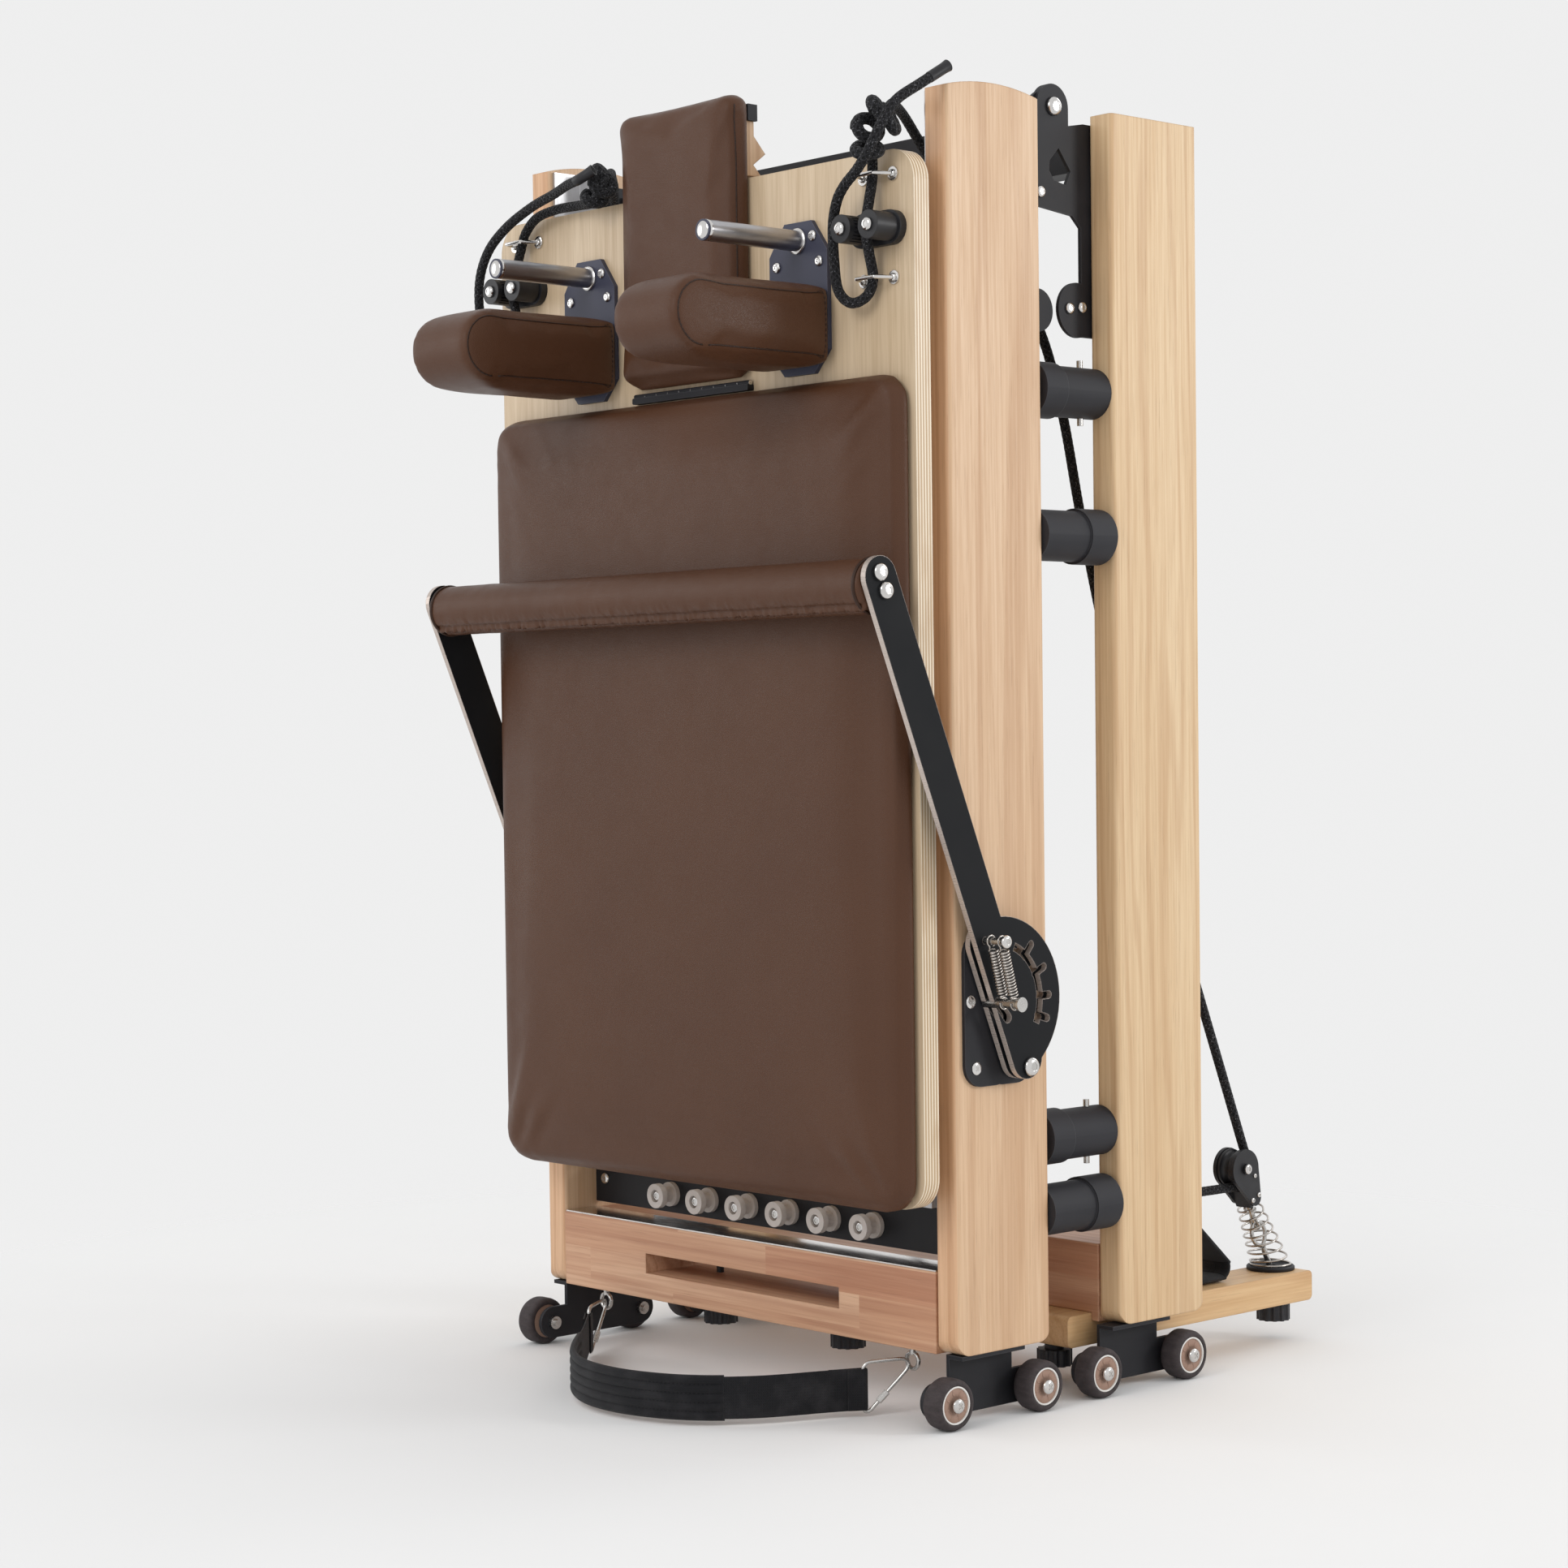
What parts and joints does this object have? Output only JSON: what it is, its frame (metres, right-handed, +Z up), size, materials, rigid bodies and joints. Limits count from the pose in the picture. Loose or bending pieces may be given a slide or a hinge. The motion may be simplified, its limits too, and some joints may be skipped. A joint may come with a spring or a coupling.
{
  "type": "pilates reformer",
  "caption": "Folding pilates reformer stood upright for storage: wooden frame halves, sliding upholstered carriage, shoulder rests, padded footbar, ropes and straps.",
  "frame": {"origin": "floor level under the middle of the folded machine", "axes": "+Z up along the side rails, -Y towards the upholstered carriage side, +X to the side with the footbar latch seen in front"},
  "size_m": [0.74, 0.83, 1.2935],
  "materials": {
    "rubberwood": "oiled, finger-jointed staves",
    "rubberwood_board": "oiled, redder staves",
    "light_wood": "sanded",
    "birch_ply": "lacquered, layered edges",
    "leather": "grained, satin",
    "black_steel": "powder coat",
    "grey_steel": "powder coat, satin",
    "stainless": "polished",
    "aluminium": "anodised",
    "white_plastic": "moulded nylon",
    "black_plastic": "moulded",
    "tyre": "matt tread",
    "webbing": "woven, padded",
    "rope": "braided"
  },
  "bodies": {
    "front_frame": {"front_rails": "rubberwood", "front_end_board": "rubberwood_board", "front_cross_ties": "black_steel", "front_tracks": "aluminium", "spring_bar": "black_steel", "spring_spools": "white_plastic", "guard_sheet": "stainless", "front_legs": "black_steel", "front_hinge_plates": "black_steel", "footbar_base_plates": "black_steel", "front_wheel_plates": "black_steel", "front_fasteners": "stainless", "strap_rings": "stainless", "foot_strap": "webbing"},
    "clamp_knobs": {"clamp_knobs": "black_plastic"},
    "footbar": {"footbar_arms": "black_steel", "footbar_tube": "stainless", "footbar_roll": "leather", "footbar_fasteners": "stainless", "latch_springs": "stainless"},
    "latch_pins": {"latch_pins": "stainless"},
    "carriage": {"carriage_board": "birch_ply", "mattress": "leather", "shoulder_pads": "leather", "shoulder_brackets": "grey_steel", "cleat_bases": "black_plastic", "carriage_fittings": "stainless", "roller_brackets": "black_steel", "rope_right_carriage": "rope", "rope_left_carriage": "rope"},
    "rollers_lower": {"rollers_lower": "white_plastic"},
    "rollers_upper": {"rollers_upper": "white_plastic"},
    "cam_right_outer": {"cam_right_outer": "black_plastic"},
    "cam_right_inner": {"cam_right_inner": "black_plastic"},
    "cam_left_inner": {"cam_left_inner": "black_plastic"},
    "cam_left_outer": {"cam_left_outer": "black_plastic"},
    "headrest": {"headrest": "leather", "headrest_bracket": "black_steel"},
    "headrest_prop": {"headrest_prop": "light_wood"},
    "rear_frame": {"rear_rails": "rubberwood", "rear_end_board": "rubberwood_board", "rear_cross_tie": "black_steel", "rear_tracks": "aluminium", "posts": "rubberwood", "rear_legs": "black_steel", "rear_hinge_plates": "black_steel", "rear_wheel_plates": "black_steel", "rear_fasteners": "stainless", "pulley_mounts": "stainless", "pulley_blocks": "black_plastic", "hand_straps": "webbing", "rope_right_rear": "rope", "rope_left_rear": "rope"},
    "pulley_sheaves": {"pulley_sheaves": "black_plastic"},
    "feet_near": {"feet_near": "black_plastic"},
    "feet_far": {"feet_far": "black_plastic"},
    "wheels_front_outer": {"wheels_front_outer": "tyre"},
    "wheels_front_inner": {"wheels_front_inner": "tyre"},
    "wheels_rear_inner": {"wheels_rear_inner": "tyre"},
    "wheels_rear_outer": {"wheels_rear_outer": "tyre"}
  },
  "joints": [
    {"name": "fold_hinge", "type": "hinge", "parent": "front_frame", "child": "rear_frame", "pos_m": [0, 0.011, 1.2715], "axis": [1, 0, 0], "range_deg": [0, 180]},
    {"name": "carriage_travel", "type": "slide", "parent": "front_frame", "child": "carriage", "axis": [0, 0, 1], "range_m": [0, 0.78]},
    {"name": "rollers_lower_spin", "type": "hinge", "parent": "carriage", "child": "rollers_lower", "pos_m": [0, -0.146, 0.297], "axis": [1, 0, 0], "continuous": true},
    {"name": "rollers_upper_spin", "type": "hinge", "parent": "carriage", "child": "rollers_upper", "pos_m": [0, -0.146, 1.117], "axis": [1, 0, 0], "continuous": true},
    {"name": "footbar_swing", "type": "hinge", "parent": "front_frame", "child": "footbar", "pos_m": [0, -0.09, 0.341], "axis": [1, 0, 0], "range_deg": [0, 95]},
    {"name": "latch_pull", "type": "slide", "parent": "footbar", "child": "latch_pins", "axis": [0, 0.6606, -0.7507], "range_m": [0, 0.02], "stiffness_N_per_m": 1500, "springref_m": -0.01},
    {"name": "clamp_knobs_screw", "type": "slide", "parent": "front_frame", "child": "clamp_knobs", "axis": [0, 0, -1], "range_m": [0, 0.02]},
    {"name": "headrest_lift", "type": "hinge", "parent": "carriage", "child": "headrest", "pos_m": [0, -0.214, 1.0065], "axis": [1, 0, 0], "range_deg": [0, 35]},
    {"name": "headrest_prop_swing", "type": "hinge", "parent": "headrest", "child": "headrest_prop", "pos_m": [0.075, -0.205, 1.27], "axis": [1, 0, 0], "range_deg": [0, 80]},
    {"name": "cam_right_outer_turn", "type": "hinge", "parent": "carriage", "child": "cam_right_outer", "pos_m": [0.2885, -0.231, 1.133], "axis": [0, 1, 0], "range_deg": [0, 40], "stiffness_Nm_per_rad": 0.1, "springref_deg": -11.46},
    {"name": "cam_right_inner_turn", "type": "hinge", "parent": "carriage", "child": "cam_right_inner", "pos_m": [0.2515, -0.231, 1.133], "axis": [0, -1, 0], "range_deg": [0, 40], "stiffness_Nm_per_rad": 0.1, "springref_deg": -11.46},
    {"name": "cam_left_inner_turn", "type": "hinge", "parent": "carriage", "child": "cam_left_inner", "pos_m": [-0.2515, -0.231, 1.133], "axis": [0, 1, 0], "range_deg": [0, 40], "stiffness_Nm_per_rad": 0.1, "springref_deg": -11.46},
    {"name": "cam_left_outer_turn", "type": "hinge", "parent": "carriage", "child": "cam_left_outer", "pos_m": [-0.2885, -0.231, 1.133], "axis": [0, -1, 0], "range_deg": [0, 40], "stiffness_Nm_per_rad": 0.1, "springref_deg": -11.46},
    {"name": "sheaves_spin", "type": "hinge", "parent": "rear_frame", "child": "pulley_sheaves", "pos_m": [0, 0.331, 0.191], "axis": [1, 0, 0], "continuous": true},
    {"name": "feet_near_screw", "type": "slide", "parent": "rear_frame", "child": "feet_near", "axis": [0, 0, -1], "range_m": [0, 0.012]},
    {"name": "feet_far_screw", "type": "slide", "parent": "rear_frame", "child": "feet_far", "axis": [0, 0, -1], "range_m": [0, 0.012]},
    {"name": "wheels_front_outer_spin", "type": "hinge", "parent": "front_frame", "child": "wheels_front_outer", "pos_m": [0, -0.181, 0.025], "axis": [1, 0, 0], "continuous": true},
    {"name": "wheels_front_inner_spin", "type": "hinge", "parent": "front_frame", "child": "wheels_front_inner", "pos_m": [0, -0.057, 0.025], "axis": [1, 0, 0], "continuous": true},
    {"name": "wheels_rear_inner_spin", "type": "hinge", "parent": "rear_frame", "child": "wheels_rear_inner", "pos_m": [0, 0.03, 0.025], "axis": [1, 0, 0], "continuous": true},
    {"name": "wheels_rear_outer_spin", "type": "hinge", "parent": "rear_frame", "child": "wheels_rear_outer", "pos_m": [0, 0.159, 0.025], "axis": [1, 0, 0], "continuous": true}
  ]
}
